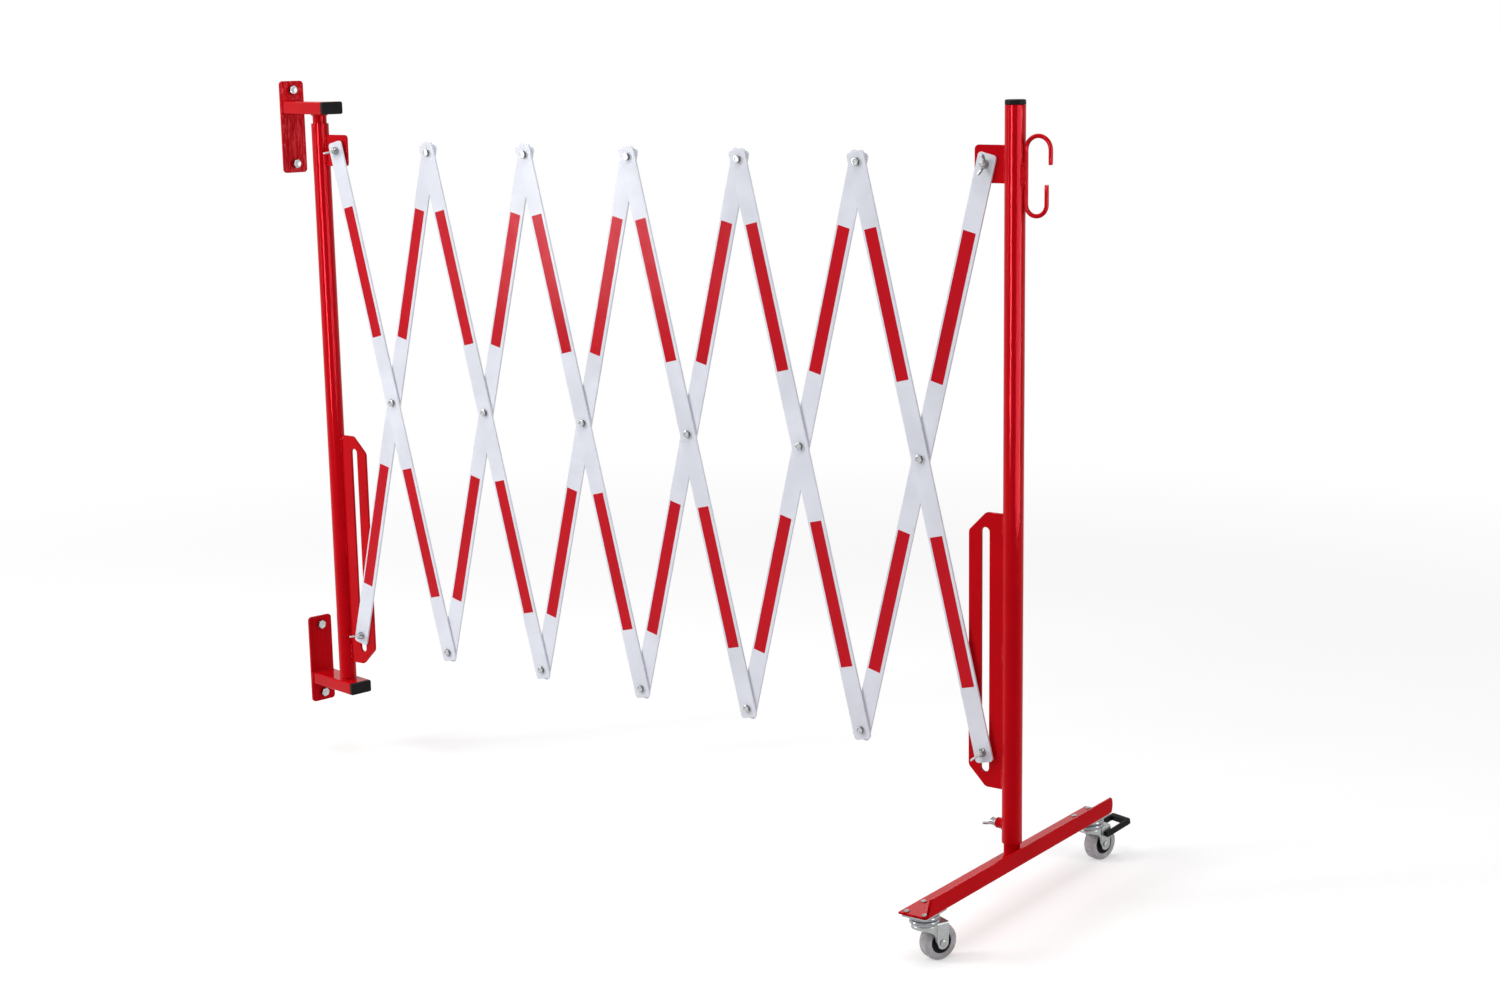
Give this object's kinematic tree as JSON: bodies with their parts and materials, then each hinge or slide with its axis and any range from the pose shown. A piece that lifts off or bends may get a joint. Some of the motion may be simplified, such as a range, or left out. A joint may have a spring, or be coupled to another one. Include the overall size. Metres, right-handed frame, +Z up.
{
  "type": "expandable safety barrier",
  "caption": "Wall-mounted barrier: a scissor lattice of flat crossed bars between a post that swings on wall brackets and an end post on a castor foot.",
  "frame": {"origin": "on the wall, on the back face of the lower wall bracket, at the middle of its plate", "axes": "+X straight out of the wall, +Z up, +Y to the right when facing the wall; at rest the lattice opens out of the wall 10 degrees to the +Y side of +X, its front face looks to -Y, and the floor is 0.160 m below the origin"},
  "size_m": [1.4087, 0.5491, 1.13],
  "materials": {
    "red_powder_coat": "gloss powder coat",
    "white_powder_coat": "gloss powder coat with red reflective film",
    "zinc_plated_steel": "bright zinc",
    "black_plastic": "satin moulded",
    "grey_tread": "smooth grey"
  },
  "bodies": {
    "wall_brackets": {"wall_bracket_lower": "red_powder_coat", "wall_bracket_upper": "red_powder_coat", "arm_cap_lower": "black_plastic", "arm_cap_upper": "black_plastic", "wall_bolt_lower_low": "zinc_plated_steel", "wall_bolt_lower_high": "zinc_plated_steel", "wall_bolt_upper_low": "zinc_plated_steel", "wall_bolt_upper_high": "zinc_plated_steel"},
    "wall_post": {"wall_post": "red_powder_coat", "clamp_bolt_wall_top": "zinc_plated_steel", "spacer_wall_top": "zinc_plated_steel"},
    "front_bar_1": {"front_bar_1": "white_powder_coat", "pivot_bolt_middle_1": "zinc_plated_steel", "pivot_bolt_low_1": "zinc_plated_steel"},
    "back_bar_1": {"back_bar_1": "white_powder_coat", "clamp_bolt_wall_low": "zinc_plated_steel"},
    "front_bar_2": {"front_bar_2": "white_powder_coat", "pivot_bolt_middle_2": "zinc_plated_steel", "pivot_bolt_low_2": "zinc_plated_steel", "pivot_bolt_top_1": "zinc_plated_steel"},
    "back_bar_2": {"back_bar_2": "white_powder_coat"},
    "front_bar_3": {"front_bar_3": "white_powder_coat", "pivot_bolt_middle_3": "zinc_plated_steel", "pivot_bolt_low_3": "zinc_plated_steel", "pivot_bolt_top_2": "zinc_plated_steel"},
    "back_bar_3": {"back_bar_3": "white_powder_coat"},
    "front_bar_4": {"front_bar_4": "white_powder_coat", "pivot_bolt_middle_4": "zinc_plated_steel", "pivot_bolt_low_4": "zinc_plated_steel", "pivot_bolt_top_3": "zinc_plated_steel"},
    "back_bar_4": {"back_bar_4": "white_powder_coat"},
    "front_bar_5": {"front_bar_5": "white_powder_coat", "pivot_bolt_middle_5": "zinc_plated_steel", "pivot_bolt_low_5": "zinc_plated_steel", "pivot_bolt_top_4": "zinc_plated_steel"},
    "back_bar_5": {"back_bar_5": "white_powder_coat"},
    "front_bar_6": {"front_bar_6": "white_powder_coat", "pivot_bolt_middle_6": "zinc_plated_steel", "pivot_bolt_top_5": "zinc_plated_steel", "clamp_bolt_mobile_low": "zinc_plated_steel", "spacer_mobile_low": "zinc_plated_steel"},
    "back_bar_6": {"back_bar_6": "white_powder_coat"},
    "mobile_post": {"mobile_post": "red_powder_coat", "post_cap": "black_plastic", "clamp_bolt_mobile_top": "zinc_plated_steel"},
    "foot": {"foot": "red_powder_coat", "castor_plate_near": "zinc_plated_steel", "castor_plate_far": "zinc_plated_steel"},
    "castor_fork_near": {"castor_fork_near": "zinc_plated_steel"},
    "wheel_near": {"tyre_near": "grey_tread", "hub_near": "black_plastic"},
    "castor_fork_far": {"castor_fork_far": "zinc_plated_steel"},
    "wheel_far": {"tyre_far": "grey_tread", "hub_far": "black_plastic"},
    "brake_pedal": {"brake_pedal": "black_plastic"},
    "wing_nut_wall_top": {"wing_nut_wall_top": "zinc_plated_steel"},
    "wing_nut_wall_low": {"wing_nut_wall_low": "zinc_plated_steel"},
    "wing_nut_mobile_top": {"wing_nut_mobile_top": "zinc_plated_steel"},
    "wing_nut_mobile_low": {"wing_nut_mobile_low": "zinc_plated_steel"},
    "foot_screw": {"foot_screw": "zinc_plated_steel"}
  },
  "joints": [
    {"name": "wall_post_swing", "type": "hinge", "parent": "wall_brackets", "child": "wall_post", "pos_m": [0.0807, 0, 0.44], "axis": [0, 0, 1], "range_deg": [-100, 80]},
    {"name": "lattice_fold", "type": "hinge", "parent": "wall_post", "child": "front_bar_1", "pos_m": [0.1233, 0.0003, 0.86], "axis": [0.1736, -0.9848, 0], "range_deg": [-10, 39.4]},
    {"name": "back_bar_1_fold", "type": "hinge", "parent": "front_bar_1", "child": "back_bar_1", "pos_m": [0.22129, 0.01926, 0.45975], "axis": [0.1736, -0.9848, 0], "range_deg": [-78.9, 20.1]},
    {"name": "back_bar_2_fold", "type": "hinge", "parent": "front_bar_1", "child": "back_bar_2", "pos_m": [0.31956, 0.03658, 0.05951], "axis": [0.1736, -0.9848, 0], "range_deg": [-78.9, 20.1]},
    {"name": "front_bar_2_fold", "type": "hinge", "parent": "back_bar_2", "child": "front_bar_2", "pos_m": [0.41784, 0.05391, 0.45975], "axis": [0.1736, -0.9848, 0], "range_deg": [-20.1, 78.9]},
    {"name": "front_bar_3_fold", "type": "hinge", "parent": "back_bar_2", "child": "front_bar_3", "pos_m": [0.51611, 0.07124, 0.86], "axis": [0.1736, -0.9848, 0], "range_deg": [-20.1, 78.9]},
    {"name": "back_bar_3_fold", "type": "hinge", "parent": "front_bar_3", "child": "back_bar_3", "pos_m": [0.61439, 0.08857, 0.45975], "axis": [0.1736, -0.9848, 0], "range_deg": [-78.9, 20.1]},
    {"name": "back_bar_4_fold", "type": "hinge", "parent": "front_bar_3", "child": "back_bar_4", "pos_m": [0.71267, 0.1059, 0.05951], "axis": [0.1736, -0.9848, 0], "range_deg": [-78.9, 20.1]},
    {"name": "front_bar_4_fold", "type": "hinge", "parent": "back_bar_4", "child": "front_bar_4", "pos_m": [0.81095, 0.12323, 0.45975], "axis": [0.1736, -0.9848, 0], "range_deg": [-20.1, 78.9]},
    {"name": "front_bar_5_fold", "type": "hinge", "parent": "back_bar_4", "child": "front_bar_5", "pos_m": [0.90922, 0.14056, 0.86], "axis": [0.1736, -0.9848, 0], "range_deg": [-20.1, 78.9]},
    {"name": "back_bar_5_fold", "type": "hinge", "parent": "front_bar_5", "child": "back_bar_5", "pos_m": [1.0075, 0.15789, 0.45975], "axis": [0.1736, -0.9848, 0], "range_deg": [-78.9, 20.1]},
    {"name": "back_bar_6_fold", "type": "hinge", "parent": "front_bar_5", "child": "back_bar_6", "pos_m": [1.10577, 0.17521, 0.05951], "axis": [0.1736, -0.9848, 0], "range_deg": [-78.9, 20.1]},
    {"name": "front_bar_6_fold", "type": "hinge", "parent": "back_bar_6", "child": "front_bar_6", "pos_m": [1.20405, 0.19254, 0.45975], "axis": [0.1736, -0.9848, 0], "range_deg": [-20.1, 78.9]},
    {"name": "mobile_post_fold", "type": "hinge", "parent": "back_bar_6", "child": "mobile_post", "pos_m": [1.30233, 0.20987, 0.86], "axis": [0.1736, -0.9848, 0], "range_deg": [-10.1, 39.5]},
    {"name": "foot_turn", "type": "hinge", "parent": "mobile_post", "child": "foot", "pos_m": [1.34274, 0.22253, -0.06], "axis": [0, 0, 1], "range_deg": [-90, 90]},
    {"name": "castor_near_swivel", "type": "hinge", "parent": "foot", "child": "castor_fork_near", "pos_m": [1.38216, -0.00102, -0.1], "axis": [0, 0, 1], "continuous": true},
    {"name": "wheel_near_roll", "type": "hinge", "parent": "castor_fork_near", "child": "wheel_near", "pos_m": [1.38724, 0.01936, -0.135], "axis": [-0.9703, 0.2419, 0], "continuous": true},
    {"name": "castor_far_swivel", "type": "hinge", "parent": "foot", "child": "castor_fork_far", "pos_m": [1.30333, 0.44608, -0.1], "axis": [0, 0, 1], "continuous": true},
    {"name": "wheel_far_roll", "type": "hinge", "parent": "castor_fork_far", "child": "wheel_far", "pos_m": [1.30552, 0.46697, -0.135], "axis": [-0.9945, 0.1045, 0], "continuous": true},
    {"name": "brake_pedal_press", "type": "hinge", "parent": "castor_fork_far", "child": "brake_pedal", "pos_m": [1.30552, 0.46697, -0.119], "axis": [-0.9945, 0.1045, 0], "range_deg": [0, 20]},
    {"name": "wing_nut_wall_top_turn", "type": "hinge", "parent": "wall_post", "child": "wing_nut_wall_top", "pos_m": [0.12355, -0.00118, 0.86], "axis": [0.1736, -0.9848, 0], "range_deg": [0, 360]},
    {"name": "wing_nut_wall_low_turn", "type": "hinge", "parent": "back_bar_1", "child": "wing_nut_wall_low", "pos_m": [0.12298, 0.00207, 0.05951], "axis": [0.1736, -0.9848, 0], "range_deg": [0, 360]},
    {"name": "wing_nut_mobile_top_turn", "type": "hinge", "parent": "mobile_post", "child": "wing_nut_mobile_top", "pos_m": [1.3023, 0.21002, 0.86], "axis": [0.1736, -0.9848, 0], "range_deg": [0, 360]},
    {"name": "wing_nut_mobile_low_turn", "type": "hinge", "parent": "front_bar_6", "child": "wing_nut_mobile_low", "pos_m": [1.30288, 0.20677, 0.05951], "axis": [0.1736, -0.9848, 0], "range_deg": [0, 360]},
    {"name": "foot_screw_turn", "type": "hinge", "parent": "mobile_post", "child": "foot_screw", "pos_m": [1.31911, 0.21837, -0.0393], "axis": [-0.9848, -0.1736, 0], "range_deg": [0, 360]}
  ],
  "couplings": [
    {"joint": "back_bar_1_fold", "follows": "lattice_fold", "ratio": -2},
    {"joint": "back_bar_2_fold", "follows": "lattice_fold", "ratio": -2},
    {"joint": "front_bar_2_fold", "follows": "lattice_fold", "ratio": 2},
    {"joint": "front_bar_3_fold", "follows": "lattice_fold", "ratio": 2},
    {"joint": "back_bar_3_fold", "follows": "lattice_fold", "ratio": -2},
    {"joint": "back_bar_4_fold", "follows": "lattice_fold", "ratio": -2},
    {"joint": "front_bar_4_fold", "follows": "lattice_fold", "ratio": 2},
    {"joint": "front_bar_5_fold", "follows": "lattice_fold", "ratio": 2},
    {"joint": "back_bar_5_fold", "follows": "lattice_fold", "ratio": -2},
    {"joint": "back_bar_6_fold", "follows": "lattice_fold", "ratio": -2},
    {"joint": "front_bar_6_fold", "follows": "lattice_fold", "ratio": 2},
    {"joint": "mobile_post_fold", "follows": "lattice_fold", "ratio": 1}
  ]
}
